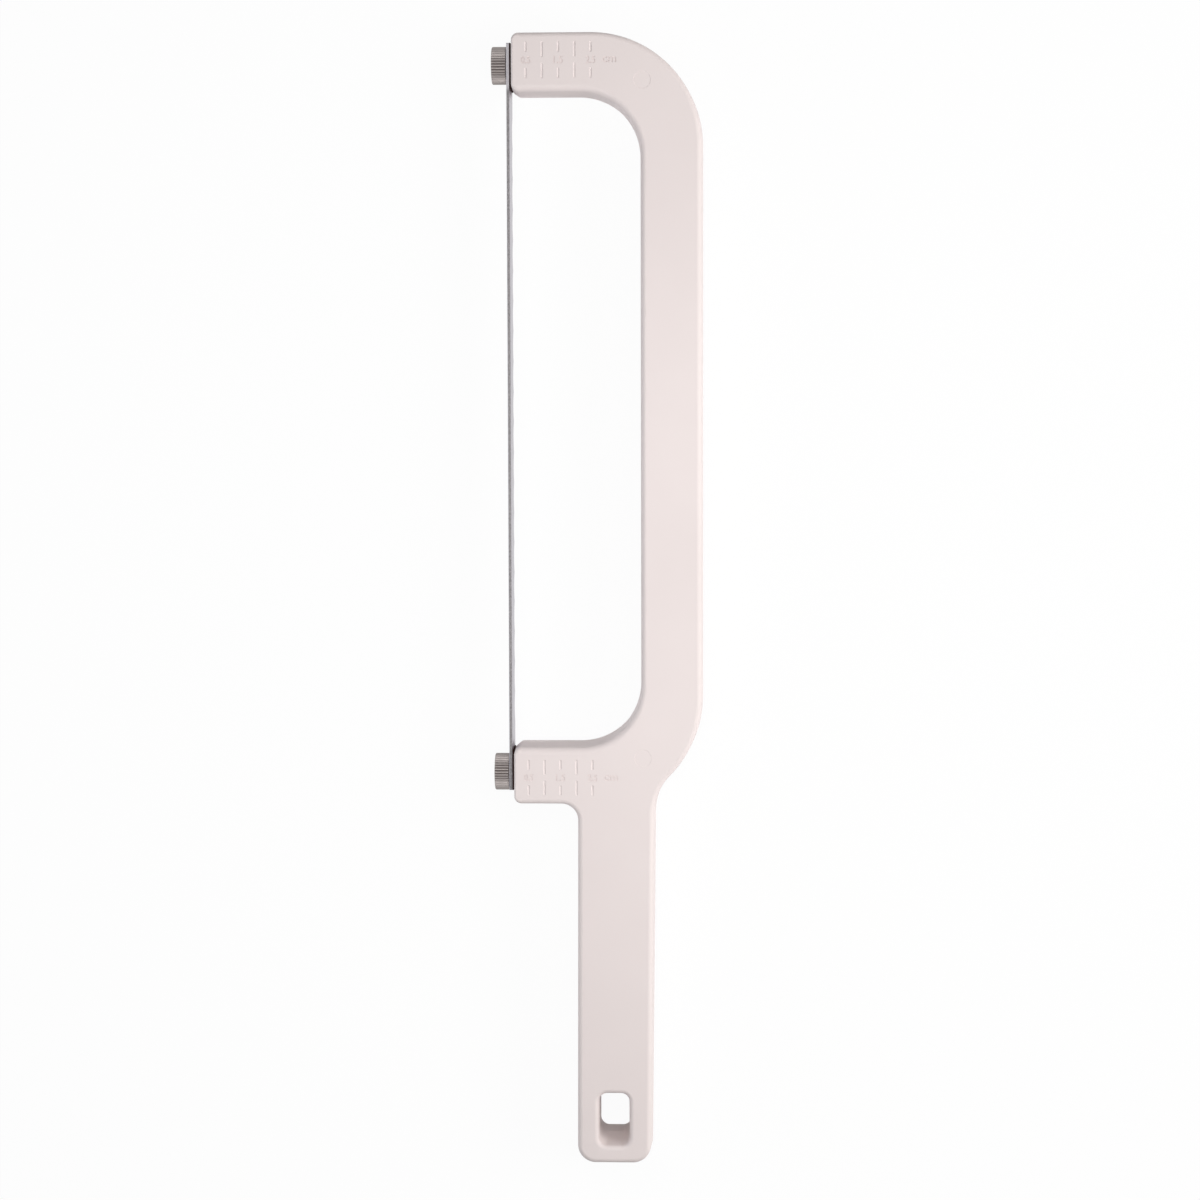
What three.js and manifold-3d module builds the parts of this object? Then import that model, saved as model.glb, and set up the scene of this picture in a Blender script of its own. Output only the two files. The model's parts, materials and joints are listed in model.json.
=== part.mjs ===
// Bread bow knife: a moulded bow frame with a straight handle, and a thin scalloped blade that two
// knurled thumb screws clamp to the ends of the arms.
// Millimetres. The knife lies on its back face: X runs from the blade towards the back bar, Y from the
// handle towards the tip, and Z up through the thickness. The origin is under the middle of its box.

import * as THREE from 'three';
import { mergeVertices } from 'three/addons/utils/BufferGeometryUtils.js';
import Module from 'manifold-3d';

// Bow frame, measured on the parting plane half way through the thickness
const FRAME_THICKNESS = 22;
const THROAT_LENGTH = 202.3; // clear length between the two arms
const THROAT_DEPTH = 40; // from the arm ends to the back bar
const BAR_WIDTH = 19.5;
const TOP_ARM_HEIGHT = 18.9;
const BOTTOM_ARM_HEIGHT = 18.6;

// Handle
const HANDLE_LENGTH = 114.2; // below the bottom arm
const HANDLE_SETBACK = 20; // from the arm ends to the handle's near side, at the neck
const HANDLE_END_SETBACK = 19.6; // the same at the handle's end
const HANDLE_NECK_WIDTH = 24.7;
const HANDLE_END_WIDTH = 23.9;

// Corners of the outline
const ARM_CORNER_RADIUS = 2.8;
const BOW_CORNER_RADIUS = 34.7;
const THROAT_CORNER_RADIUS = 19.3;
const SHOULDER_RADIUS = 34.9; // where the back bar turns in towards the handle
const SHOULDER_FLAT = 0.3; // straight stretch between the shoulder and the neck
const NECK_RADIUS = 17.3;
const NECK_DROP = 3; // the neck ends this far below the bottom arm
const GUARD_RADIUS = 4.9; // hollow between the bottom arm and the handle
const HANDLE_END_RADIUS = 6.1;

// Moulded edges
const EDGE_FILLET = 1.6;
const THROAT_FILLET = 2.2; // along the arms' sides that face each other
const CORNER_LEFT = 0.15; // least radius that the fillets leave at an arm's corner
const DRAFT_INSET = 0.43; // how far the walls lean in between the parting plane and the fillets

// Hanging hole, measured on the parting plane, where it is narrowest
const HOLE_WIDTH = 9.4;
const HOLE_LENGTH = 14.7;
const HOLE_END_WALL = 7.9; // from the hole to the end of the handle
const HOLE_CORNER_RADIUS = 2.6;
const HOLE_BACK_DRAFT = 0.2; // how far its walls lean out by the back lip
const HOLE_FRONT_DRAFT = 0.1; // and by the front lip
const HOLE_LOW_SLOPE = 1.8; // its lower wall leans out this much more by the front lip
const HOLE_LIP = 1.5;

// Slice scale engraved in the front of both arms
const TICK_PITCH = 5;
const TICK_COUNT = 5;
const TICK_WIDTH = 0.6;
const TICK_DEPTH = 0.3;
const SHORT_TICK = 3.1;
const LONG_TICK = 4.6;
const SCALE_HEIGHT = 11.1; // from the outer end of one row of ticks to that of the other
const SCALE_OFFSET = 0.55; // the scale sits this far from the arm's middle, away from the throat

// Blade
const BLADE_THICKNESS = 1;
const BLADE_WIDTH = 12.5;
const BLADE_TOP_MARGIN = 6.4; // from the top screw's axis to the blade's end
const BLADE_BOTTOM_MARGIN = 5.2;
const BLADE_CORNER_RADIUS = 0.5;
const SCALLOP_PITCH = 9.5;
const SCALLOP_DEPTH = 2;
const SCALLOP_MARGIN = 5; // least plain stretch between an arm and the first tip
const EDGE_RUNOUT = 3; // where the bevel fades beyond the outermost tips
const BEVEL_WIDTH = 2.6;
const EDGE_LAND = 0.15; // thickness left at the cutting edge

// Thumb screws
const HEAD_DIAMETER = 11.6;
const HEAD_LENGTH = 4.75;
const HEAD_CHAMFER = 0.45;
const KNURL_COUNT = 40;
const KNURL_DEPTH = 0.35;
const SHANK_DIAMETER = 5;
const THREAD_ENGAGEMENT = 11.5; // shank inside the arm
const TIP_CHAMFER = 0.8;

// Threaded inserts, flush with the arm ends
const INSERT_DIAMETER = 7.2;
const INSERT_LENGTH = 12;
const POCKET_SPARE = 2.5; // pocket left beyond the insert

// Pads between the arm ends and the blade, as wide as the blade and ending with it
const PAD_THICKNESS = 0.25;
const PAD_MARGIN = 1.7; // from the throat to the pad

// Fits
const FIT_CLEARANCE = 0.3; // round a shank or an insert
const SEAT_CLEARANCE = 0.05; // between flat faces that bear on each other

// Fineness of the facets
const ARC_STEP = THREE.MathUtils.degToRad(9);
const FILLET_STEPS = 4;
const ROUND_STEPS = 32;
const SCALLOP_STEPS = 6;
const END_STEPS = 4;

const wasm = await Module();
wasm.setup();

// Places worked out from the sizes: X is 0 at the arm ends and Y is 0 at the middle of the throat
const topY = THROAT_LENGTH / 2 + TOP_ARM_HEIGHT;
const guardY = -THROAT_LENGTH / 2 - BOTTOM_ARM_HEIGHT;
const endY = guardY - HANDLE_LENGTH;
const barX = THROAT_DEPTH + BAR_WIDTH;
const midZ = FRAME_THICKNESS / 2;
const topScrewY = (topY + THROAT_LENGTH / 2) / 2;
const bottomScrewY = (guardY - THROAT_LENGTH / 2) / 2;
const bladeLowY = bottomScrewY - BLADE_BOTTOM_MARGIN;
const bladeHighY = topScrewY + BLADE_TOP_MARGIN;
const padOuterX = -SEAT_CLEARANCE - PAD_THICKNESS;
const bladeOuterX = padOuterX - SEAT_CLEARANCE - BLADE_THICKNESS;
const headSeatX = bladeOuterX - SEAT_CLEARANCE;
const headEndX = headSeatX - HEAD_LENGTH;

const material = (color, roughness, metalness) =>
  new THREE.MeshStandardMaterial({ color, roughness, metalness });
const framePlastic = material(0xe9dfdc, 0.45, 0);
const bladeSteel = material(0xc9c8ca, 0.3, 1);
const screwSteel = material(0x9b948f, 0.35, 1);
const brass = material(0xb08d57, 0.4, 1);
const padRubber = material(0x38241f, 0.8, 0);

// Solids and meshes

function indexedGeometry(positions, triangles) {
  const geometry = new THREE.BufferGeometry();
  geometry.setAttribute('position', new THREE.Float32BufferAttribute(positions, 3));
  geometry.setIndex(triangles);
  return geometry;
}

function signedVolume(positions, triangles) {
  const corner = (i) => new THREE.Vector3().fromArray(positions, 3 * i);
  let six = 0;
  for (let i = 0; i < triangles.length; i += 3) {
    const [a, b, c] = [triangles[i], triangles[i + 1], triangles[i + 2]].map(corner);
    six += a.dot(b.cross(c));
  }
  return six / 6;
}

function toSolid(geometry) {
  const bare = geometry.clone();
  bare.deleteAttribute('normal');
  bare.deleteAttribute('uv');
  const merged = mergeVertices(bare, 1e-4);
  return new wasm.Manifold(
    new wasm.Mesh({
      numProp: 3,
      vertProperties: new Float32Array(merged.attributes.position.array),
      triVerts: new Uint32Array(merged.index.array),
    }),
  );
}

function toGeometry(solid) {
  const { vertProperties, triVerts } = solid.getMesh();
  const geometry = indexedGeometry(Array.from(vertProperties), Array.from(triVerts));
  geometry.computeVertexNormals();
  return geometry;
}

function named(name, geometry, meshMaterial) {
  const mesh = new THREE.Mesh(geometry, meshMaterial);
  mesh.name = name;
  return mesh;
}

// Joins a stack of rings with as many points each into a closed skin, with a flat cap at each end
function skin(rings) {
  const count = rings[0].length;
  const positions = rings.flat().flatMap((p) => [p.x, p.y, p.z]);
  const triangles = [];
  for (let k = 0; k + 1 < rings.length; k += 1) {
    for (let i = 0; i < count; i += 1) {
      const a = k * count + i;
      const b = k * count + ((i + 1) % count);
      triangles.push(a, b, b + count, a, b + count, a + count);
    }
  }
  for (const [first, flip] of [[0, true], [(rings.length - 1) * count, false]]) {
    for (let i = 1; i + 1 < count; i += 1) {
      const fan = [first, first + i, first + i + 1];
      triangles.push(...(flip ? fan.reverse() : fan));
    }
  }
  if (signedVolume(positions, triangles) < 0) triangles.reverse();
  return indexedGeometry(positions, triangles);
}

// Outlines

// Rounds the corners of a polygon, given anticlockwise, into points that carry their outward normals
function roundedOutline(corners) {
  const count = corners.length;
  return corners.flatMap(({ at, radius }, i) => {
    const before = corners[(i + count - 1) % count].at.clone().sub(at).normalize();
    const after = corners[(i + 1) % count].at.clone().sub(at).normalize();
    const turn = Math.PI - Math.acos(THREE.MathUtils.clamp(before.dot(after), -1, 1));
    const convex = before.cross(after) < 0;
    const centre = before.clone().add(after).normalize();
    centre.multiplyScalar(radius / Math.cos(turn / 2)).add(at);
    const start = before.clone().multiplyScalar(radius * Math.tan(turn / 2)).add(at).sub(centre);
    const steps = Math.max(2, Math.ceil(turn / ARC_STEP));
    return Array.from({ length: steps + 1 }, (_, k) => {
      const angle = ((convex ? 1 : -1) * turn * k) / steps;
      const spoke = start.clone().rotateAround(new THREE.Vector2(), angle);
      const normal = spoke.clone().normalize().multiplyScalar(convex ? 1 : -1);
      return { point: spoke.add(centre), normal };
    });
  });
}

const corner = (x, y, radius) => ({ at: new THREE.Vector2(x, y), radius });

// The shoulder's slope follows from its two radii and the step from the bar to the handle
function shoulderCorners() {
  const neckX = HANDLE_SETBACK + HANDLE_NECK_WIDTH;
  const step = barX - neckX;
  const radii = SHOULDER_RADIUS + NECK_RADIUS;
  const reach = Math.hypot(radii, SHOULDER_FLAT);
  const slope = Math.acos((radii - step) / reach) - Math.atan2(SHOULDER_FLAT, radii);
  const neckY = guardY - NECK_DROP + NECK_RADIUS * Math.tan(slope / 2);
  const run = radii * Math.tan(slope / 2) + SHOULDER_FLAT;
  return [
    corner(neckX, neckY, NECK_RADIUS),
    corner(barX, neckY + run * Math.cos(slope), SHOULDER_RADIUS),
  ];
}

function frameOutline() {
  const arm = THROAT_LENGTH / 2;
  return roundedOutline([
    corner(0, topY, ARM_CORNER_RADIUS),
    corner(0, arm, ARM_CORNER_RADIUS),
    corner(THROAT_DEPTH, arm, THROAT_CORNER_RADIUS),
    corner(THROAT_DEPTH, -arm, THROAT_CORNER_RADIUS),
    corner(0, -arm, ARM_CORNER_RADIUS),
    corner(0, guardY, ARM_CORNER_RADIUS),
    corner(HANDLE_SETBACK, guardY, GUARD_RADIUS),
    corner(HANDLE_END_SETBACK, endY, HANDLE_END_RADIUS),
    corner(HANDLE_END_SETBACK + HANDLE_END_WIDTH, endY, HANDLE_END_RADIUS),
    ...shoulderCorners(),
    corner(barX, topY, BOW_CORNER_RADIUS),
  ]);
}

function holeOutline() {
  const middle = HANDLE_END_SETBACK + HANDLE_END_WIDTH / 2;
  const [left, right] = [middle - HOLE_WIDTH / 2, middle + HOLE_WIDTH / 2];
  const low = endY + HOLE_END_WALL;
  const high = low + HOLE_LENGTH;
  const radius = HOLE_CORNER_RADIUS;
  return roundedOutline([
    corner(left, low, radius),
    corner(right, low, radius),
    corner(right, high, radius),
    corner(left, high, radius),
  ]);
}

// How much further the hole's lower wall leans towards the handle's end at each height
function holeDrop(point, z) {
  if (point.y > endY + HOLE_END_WALL + HOLE_LENGTH / 2) return 0;
  return HOLE_LOW_SLOPE * THREE.MathUtils.clamp((z - midZ) / (midZ - HOLE_LIP), 0, 1);
}

// How far a wall leans away from its parting line at each height, from the back face to the front
function wallProfile(fillet, backDraft, frontDraft) {
  const curve = (draft) =>
    Array.from({ length: FILLET_STEPS + 1 }, (_, k) => {
      const angle = (k / FILLET_STEPS) * (Math.PI / 2);
      return { z: fillet * (1 - Math.sin(angle)), lean: draft + fillet * (1 - Math.cos(angle)) };
    });
  const back = curve(backDraft).reverse();
  const front = curve(frontDraft).map(({ z, lean }) => ({ z: FRAME_THICKNESS - z, lean }));
  return [...back, { z: midZ, lean: 0 }, ...front];
}

// Bow frame

// The fillet grows where the outline turns to face the other arm across the throat
function frameFillet({ point, normal }) {
  const facing = Math.max(0, -Math.sign(point.y) * normal.y);
  const fillet = THREE.MathUtils.lerp(EDGE_FILLET, THROAT_FILLET, facing);
  return Math.min(fillet, ARM_CORNER_RADIUS - DRAFT_INSET - CORNER_LEFT);
}

// The moulding: drafted and filleted walls round the outline and through the hole, between flat faces
function moulding() {
  const walls = [
    {
      outline: frameOutline(),
      profileAt: (spot) => wallProfile(frameFillet(spot), DRAFT_INSET, DRAFT_INSET),
      side: -1,
      drop: () => 0,
    },
    {
      outline: holeOutline(),
      profileAt: () => wallProfile(HOLE_LIP, HOLE_BACK_DRAFT, HOLE_FRONT_DRAFT),
      side: 1,
      drop: holeDrop,
    },
  ];
  const positions = [];
  const triangles = [];
  const faces = { back: [], front: [] };
  for (const { outline, profileAt, side, drop } of walls) {
    const base = positions.length / 3;
    const count = outline.length;
    const profiles = outline.map(profileAt);
    const levels = profiles[0].length;
    for (let k = 0; k < levels; k += 1) {
      outline.forEach(({ point, normal }, i) => {
        const { z, lean } = profiles[i][k];
        const moved = side * lean;
        positions.push(point.x + moved * normal.x, point.y + moved * normal.y - drop(point, z), z);
      });
    }
    for (let k = 0; k + 1 < levels; k += 1) {
      for (let i = 0; i < count; i += 1) {
        const a = base + k * count + i;
        const b = base + k * count + ((i + 1) % count);
        const quad = [a, b, b + count, a, b + count, a + count];
        triangles.push(...(side < 0 ? quad : quad.reverse()));
      }
    }
    faces.back.push({ base, count });
    faces.front.push({ base: base + (levels - 1) * count, count });
  }
  for (const [face, up] of [[faces.back, false], [faces.front, true]]) {
    const loops = face.map(({ base, count }) =>
      Array.from({ length: count }, (_, i) => new THREE.Vector2().fromArray(positions, 3 * (base + i))),
    );
    const indices = face.flatMap(({ base, count }) => Array.from({ length: count }, (_, i) => base + i));
    const points = loops.flat();
    for (const [a, b, c] of THREE.ShapeUtils.triangulateShape(loops[0], [loops[1]])) {
      const anticlockwise = THREE.ShapeUtils.area([points[a], points[b], points[c]]) > 0;
      const ordered = anticlockwise === up ? [a, b, c] : [c, b, a];
      triangles.push(...ordered.map((i) => indices[i]));
    }
  }
  return toSolid(indexedGeometry(positions, triangles));
}

// One engraved mark is two ticks in line, with room for a number between the short ones
function tickMarks(armY) {
  const marks = [];
  for (let i = 1; i <= TICK_COUNT; i += 1) {
    const length = i % 2 === 1 ? SHORT_TICK : LONG_TICK;
    for (const side of [-1, 1]) {
      const tick = new THREE.BoxGeometry(TICK_WIDTH, length, 2 * TICK_DEPTH);
      tick.translate(i * TICK_PITCH, armY + (side * (SCALE_HEIGHT - length)) / 2, FRAME_THICKNESS);
      marks.push(toSolid(tick));
    }
  }
  return marks;
}

function insertPocket(screwY) {
  const depth = Math.max(INSERT_LENGTH, THREAD_ENGAGEMENT) + POCKET_SPARE;
  const radius = INSERT_DIAMETER / 2 + FIT_CLEARANCE;
  const pocket = new THREE.CylinderGeometry(radius, radius, 2 * depth, ROUND_STEPS);
  pocket.rotateZ(Math.PI / 2).translate(0, screwY, midZ);
  return toSolid(pocket);
}

function bowFrame() {
  const cuts = [
    ...tickMarks(topScrewY + SCALE_OFFSET),
    ...tickMarks(bottomScrewY - SCALE_OFFSET),
    insertPocket(topScrewY),
    insertPocket(bottomScrewY),
  ];
  const body = cuts.reduce((solid, cut) => solid.subtract(cut), moulding());
  return named('bow_frame', toGeometry(body), framePlastic);
}

// Blade and pads

// Clearance hole for a screw, through the blade and the pad behind it
function shankHole(screwY) {
  const radius = SHANK_DIAMETER / 2 + FIT_CLEARANCE;
  const hole = new THREE.CylinderGeometry(radius, radius, -4 * bladeOuterX, ROUND_STEPS);
  return toSolid(hole.rotateZ(Math.PI / 2).translate(0, screwY, midZ));
}

// Stations along the blade: how far the cutting edge and the spine draw in there, and how sharp it is
function bladeStations() {
  const scallops = Math.floor((THROAT_LENGTH - 2 * SCALLOP_MARGIN) / SCALLOP_PITCH);
  const firstTip = (-scallops * SCALLOP_PITCH) / 2;
  const half = SCALLOP_PITCH / 2;
  const arcRadius = (half ** 2 + SCALLOP_DEPTH ** 2) / (2 * SCALLOP_DEPTH);
  const stations = [];
  const plain = (y, drawn) => ({ y, rise: drawn, drop: drawn, sharp: 0 });
  const roundedEnd = (y, inward) =>
    Array.from({ length: END_STEPS + 1 }, (_, k) => {
      const angle = (k / END_STEPS) * (Math.PI / 2);
      const along = BLADE_CORNER_RADIUS * (1 - Math.cos(angle));
      return plain(y + inward * along, BLADE_CORNER_RADIUS * (1 - Math.sin(angle)));
    });
  stations.push(...roundedEnd(bladeLowY, 1));
  stations.push(plain(firstTip - EDGE_RUNOUT, 0));
  for (let k = 0; k <= scallops * SCALLOP_STEPS; k += 1) {
    const along = ((k % SCALLOP_STEPS) / SCALLOP_STEPS) * SCALLOP_PITCH - half;
    const rise = Math.sqrt(arcRadius ** 2 - along ** 2) - (arcRadius - SCALLOP_DEPTH);
    stations.push({ y: firstTip + (k / SCALLOP_STEPS) * SCALLOP_PITCH, rise, drop: 0, sharp: 1 });
  }
  stations.push(plain(-firstTip + EDGE_RUNOUT, 0));
  stations.push(...roundedEnd(bladeHighY, -1).reverse());
  return stations;
}

function blade() {
  const innerX = bladeOuterX + BLADE_THICKNESS;
  const rings = bladeStations().map(({ y, rise, drop, sharp }) => {
    const edgeZ = midZ - BLADE_WIDTH / 2 + rise;
    const spineZ = midZ + BLADE_WIDTH / 2 - drop;
    const landX = sharp ? innerX - EDGE_LAND : bladeOuterX;
    return [
      new THREE.Vector3(bladeOuterX, y, spineZ),
      new THREE.Vector3(innerX, y, spineZ),
      new THREE.Vector3(innerX, y, edgeZ),
      new THREE.Vector3(landX, y, edgeZ),
      new THREE.Vector3(bladeOuterX, y, edgeZ + BEVEL_WIDTH),
    ];
  });
  const strip = toSolid(skin(rings));
  const body = strip.subtract(shankHole(topScrewY)).subtract(shankHole(bottomScrewY));
  return named('blade', toGeometry(body), bladeSteel);
}

function bladePad(name, screwY, throatY, tipY) {
  const sheet = new THREE.BoxGeometry(PAD_THICKNESS, Math.abs(tipY - throatY), BLADE_WIDTH);
  sheet.translate(padOuterX + PAD_THICKNESS / 2, (throatY + tipY) / 2, midZ);
  return named(name, toGeometry(toSolid(sheet).subtract(shankHole(screwY))), padRubber);
}

// Thumb screws and inserts, made along +Z with the blade's seat side below, then turned to face -X

function knurledHead() {
  const crest = HEAD_DIAMETER / 2;
  const root = crest - KNURL_DEPTH;
  const rim = root - HEAD_CHAMFER;
  const ring = (z, crestRadius, rootRadius) =>
    Array.from({ length: 2 * KNURL_COUNT }, (_, i) => {
      const radius = i % 2 === 0 ? crestRadius : rootRadius;
      const angle = (i * Math.PI) / KNURL_COUNT;
      return new THREE.Vector3(radius * Math.cos(angle), radius * Math.sin(angle), z);
    });
  return toSolid(
    skin([
      ring(0, rim, rim),
      ring(HEAD_CHAMFER, crest, root),
      ring(HEAD_LENGTH - HEAD_CHAMFER, crest, root),
      ring(HEAD_LENGTH, rim, rim),
    ]),
  );
}

// Turns a closed outline of radius and height pairs about Z
function turned(profile) {
  const points = profile.map(([radius, z]) => new THREE.Vector2(radius, z));
  return toSolid(new THREE.LatheGeometry(points, ROUND_STEPS).rotateX(Math.PI / 2));
}

function shank() {
  const tipZ = headSeatX - THREAD_ENGAGEMENT;
  const radius = SHANK_DIAMETER / 2;
  return turned([
    [0, tipZ],
    [radius - TIP_CHAMFER, tipZ],
    [radius, tipZ + TIP_CHAMFER],
    [radius, HEAD_LENGTH / 2],
    [0, HEAD_LENGTH / 2],
  ]);
}

function thumbScrew(name, screwY) {
  const screw = named(name, toGeometry(knurledHead().add(shank())), screwSteel);
  screw.rotation.y = -Math.PI / 2;
  screw.position.set(headSeatX, screwY, midZ);
  return screw;
}

function threadedInsert(name, screwY) {
  const bore = SHANK_DIAMETER / 2 + FIT_CLEARANCE;
  const body = INSERT_DIAMETER / 2;
  const solid = turned([
    [bore, -INSERT_LENGTH],
    [body, -INSERT_LENGTH],
    [body, 0],
    [bore, 0],
    [bore, -INSERT_LENGTH],
  ]);
  const insert = named(name, toGeometry(solid), brass);
  insert.rotation.y = -Math.PI / 2;
  insert.position.set(0, screwY, midZ);
  return insert;
}

// The whole knife, centred over its origin

const knife = new THREE.Group();
knife.add(
  bowFrame(),
  blade(),
  thumbScrew('top_thumb_screw', topScrewY),
  thumbScrew('bottom_thumb_screw', bottomScrewY),
  threadedInsert('top_threaded_insert', topScrewY),
  threadedInsert('bottom_threaded_insert', bottomScrewY),
  bladePad('top_blade_pad', topScrewY, THROAT_LENGTH / 2 + PAD_MARGIN, bladeHighY),
  bladePad('bottom_blade_pad', bottomScrewY, -THROAT_LENGTH / 2 - PAD_MARGIN, bladeLowY),
);
knife.position.set(-(headEndX + barX) / 2, -(endY + topY) / 2, 0);

export default knife;
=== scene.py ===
import json
import math
from functools import partial

import bmesh
import bpy
from mathutils import Matrix, Vector

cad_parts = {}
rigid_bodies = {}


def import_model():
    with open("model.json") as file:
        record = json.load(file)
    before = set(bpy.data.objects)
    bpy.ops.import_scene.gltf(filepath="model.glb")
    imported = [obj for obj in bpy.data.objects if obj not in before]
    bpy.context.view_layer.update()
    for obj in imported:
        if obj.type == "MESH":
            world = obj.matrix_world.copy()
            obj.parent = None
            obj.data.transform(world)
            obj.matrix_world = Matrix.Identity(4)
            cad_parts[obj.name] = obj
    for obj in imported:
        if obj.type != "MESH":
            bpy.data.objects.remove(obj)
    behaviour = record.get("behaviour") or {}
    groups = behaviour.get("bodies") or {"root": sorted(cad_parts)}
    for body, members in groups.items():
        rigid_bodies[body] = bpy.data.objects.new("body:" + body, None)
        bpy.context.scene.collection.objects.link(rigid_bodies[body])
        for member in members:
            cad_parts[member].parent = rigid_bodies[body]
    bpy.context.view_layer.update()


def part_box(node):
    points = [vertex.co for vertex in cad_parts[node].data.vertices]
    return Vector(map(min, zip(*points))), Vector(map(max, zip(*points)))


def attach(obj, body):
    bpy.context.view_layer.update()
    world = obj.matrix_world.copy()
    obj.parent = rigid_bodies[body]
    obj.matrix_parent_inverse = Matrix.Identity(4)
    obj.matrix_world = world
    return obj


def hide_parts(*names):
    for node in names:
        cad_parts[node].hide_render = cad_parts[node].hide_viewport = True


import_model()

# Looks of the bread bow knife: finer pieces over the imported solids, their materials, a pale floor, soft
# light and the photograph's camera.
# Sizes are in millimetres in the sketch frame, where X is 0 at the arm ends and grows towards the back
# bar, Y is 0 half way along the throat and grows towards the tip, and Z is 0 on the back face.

MM = 0.001
TURN = 2 * math.pi

# Bow frame, on the parting plane half way through its thickness
FRAME_THICKNESS = 22
THROAT_LENGTH = 202.3
THROAT_DEPTH = 40
BAR_WIDTH = 19.5
TOP_ARM_HEIGHT = 18.9
BOTTOM_ARM_HEIGHT = 18.6
HANDLE_LENGTH = 114.2
HANDLE_SETBACK = 20
HANDLE_END_SETBACK = 19.6
HANDLE_NECK_WIDTH = 24.7
HANDLE_END_WIDTH = 23.9
ARM_CORNER_RADIUS = 2.8
BOW_CORNER_RADIUS = 34.7
THROAT_CORNER_RADIUS = 19.3
SHOULDER_RADIUS = 34.9
SHOULDER_FLAT = 0.3
NECK_RADIUS = 17.3
NECK_DROP = 3
GUARD_RADIUS = 4.9
HANDLE_END_RADIUS = 6.1
EDGE_FILLET = 1.6
THROAT_FILLET = 2.2  # along the arms' sides that face each other
ARM_END_FILLET = 0.7  # along the edges of the arm ends
DRAFT_INSET = 0.43
WITNESS_HEIGHT = 0.045  # fine ridge where the mould's halves met
WITNESS_WIDTH = 0.14

# Hanging hole, on the parting plane
HOLE_WIDTH = 9.4
HOLE_LENGTH = 14.7
HOLE_END_WALL = 7.9
HOLE_CORNER_RADIUS = 2.6
HOLE_BACK_DRAFT = 0.2
HOLE_FRONT_DRAFT = 0.1
HOLE_LOW_SLOPE = 1.8  # its lower wall leans out this much more by the front lip
HOLE_LIP = 1.5

# Slice scale and mould marks in the front face
TICK_PITCH = 5
TICK_COUNT = 5
TICK_WIDTH = 0.6
SHORT_TICK = 3.1
LONG_TICK = 4.6
SCALE_HEIGHT = 11.1
SCALE_OFFSET = 0.55
GROOVE_PROFILE = [(0.1, 0.24), (0, 0.1), (-0.2, -0.19), (-0.23, -0.25)]  # heights and margins
LABEL_HEIGHT = 2.2
LABEL_WIDTH = 2.9
LABEL_DEPTH = 0.2
LABEL_BOLDNESS = 0.012
UNIT_HEIGHT = 1.75
UNIT_WIDTH = 4.2
UNIT_X = 30.75
PIN_MARK_RADIUS = 2.65
PIN_MARK_X = 40.8
TOP_PIN_OFFSET = -5.7  # from a screw's axis to the mark on its arm
BOTTOM_PIN_OFFSET = 5.6
PIN_MARK_PROFILE = [(0.1, 0.12), (-0.09, 0)]  # heights and margins

# Blade and pads
SEAT_CLEARANCE = 0.05
PAD_THICKNESS = 0.25
PAD_MARGIN = 1.7  # from the throat to a pad
PAD_CORNER = 0.5
BLADE_THICKNESS = 1
BLADE_WIDTH = 12.5
BLADE_TOP_MARGIN = 6.4
BLADE_BOTTOM_MARGIN = 5.2
BLADE_CORNER_RADIUS = 0.5
BLADE_ARRIS = 0.12  # broken edges of the strip
SCALLOP_PITCH = 9.5
SCALLOP_DEPTH = 2
SCALLOP_COUNT = 20
EDGE_RUNOUT = 3
BEVEL_WIDTH = 2.6
BEVEL_HOLLOW = 0.04
EDGE_LAND = 0.15
EDGE_ARRIS = 0.03

# Thumb screws and inserts
HEAD_RADIUS = 5.8
HEAD_LENGTH = 4.75
HEAD_ROUND = 0.4
COLLAR_RADIUS = 5.4
COLLAR_LENGTH = 0.1
BASE_CHAMFER = 0.25
KNURL_COUNT = 40
KNURL_DEPTH = 0.35
KNURL_STEEPNESS = 1.3  # over 1, it leaves a flat on each ridge
THREAD_PITCH = 0.8
THREAD_MAJOR = 2.5
THREAD_MINOR = 2.04
THREAD_ROOT = 0.25  # share of half a pitch that is the flat root
THREAD_FLANK = 0.625  # share that is the flank
THREAD_ENGAGEMENT = 11.5
PLAIN_SHANK = 0.9
TIP_RADIUS = 1.7
INSERT_RADIUS = 3.6
INSERT_LENGTH = 12
INSERT_CHAMFER = 0.15
NUT_MINOR = 2.58
NUT_MAJOR = 2.8
FIT_CLEARANCE = 0.3
POCKET_DEPTH = 14.5
CREST = "crest"  # mesh attribute: 0 in the grooves of knurl and thread and 1 on their ridges

# Fineness of the meshes and of their cuts
ARC_STEP = math.radians(3)
FILLET_STEPS = 8
ROUND_STEPS = 48
GROOVE_END_STEPS = 8
SCALLOP_STEPS = 16
END_STEPS = 8
KNURL_STEPS = 10
HEAD_ROUND_STEPS = 5
BASE_SHARES = (0, 0.5, 0.75, 1)  # rings along the base chamfer
THREAD_STEPS = 36
THREAD_SAMPLES = 12  # rings in each pitch of a screw's thread
NUT_SAMPLES = 6  # rings in each pitch of an insert's thread
LABEL_STEPS = 4
CUT_MARGIN = 1  # how far a cutter reaches past what it cuts
WELD_DISTANCE = 1e-5
SHARP_ANGLE = math.radians(28)

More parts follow.
